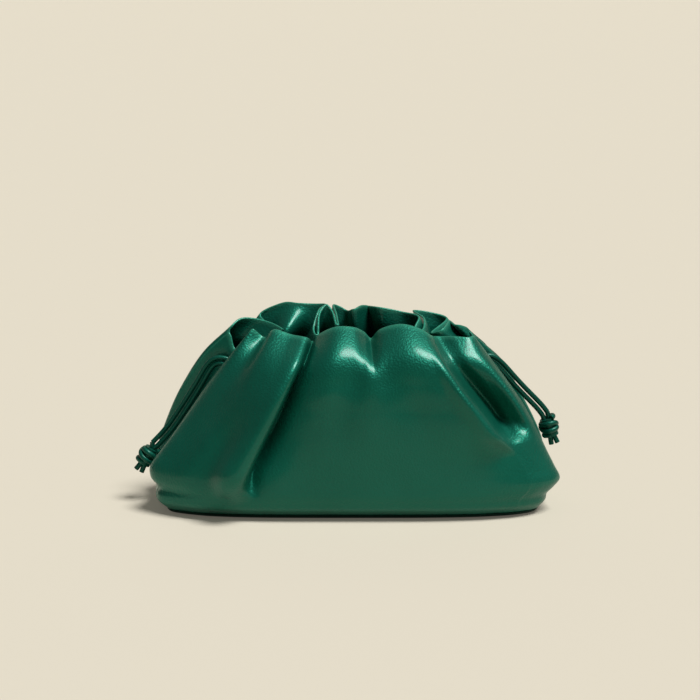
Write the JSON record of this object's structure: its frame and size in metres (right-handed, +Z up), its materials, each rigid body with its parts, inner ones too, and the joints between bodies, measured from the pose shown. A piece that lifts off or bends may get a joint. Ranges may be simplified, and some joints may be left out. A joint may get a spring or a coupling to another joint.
{
  "type": "pouch bag",
  "caption": "Soft gathered pouch bag of smooth leather on a flat base, with a ruffled mouth, folded side panels and knotted drawcords.",
  "frame": {"origin": "middle of the base's underside, on the surface that the bag stands on", "axes": "+X to the bag's right end as seen from the front, +Y to the back, +Z up; the front faces -Y"},
  "size_m": [0.237, 0.094, 0.1094],
  "materials": {
    "leather": "satin, fine pebble grain",
    "cord_leather": "satin, rolled and stitched"
  },
  "bodies": {
    "root": {"front_panel": "leather", "back_panel": "leather", "side_panel_left": "leather", "side_panel_right": "leather", "base": "leather", "cord_left_a": "cord_leather", "cord_left_b": "cord_leather", "cord_right_a": "cord_leather", "cord_right_b": "cord_leather", "knot_left": "cord_leather", "knot_right": "cord_leather"}
  },
  "joints": []
}
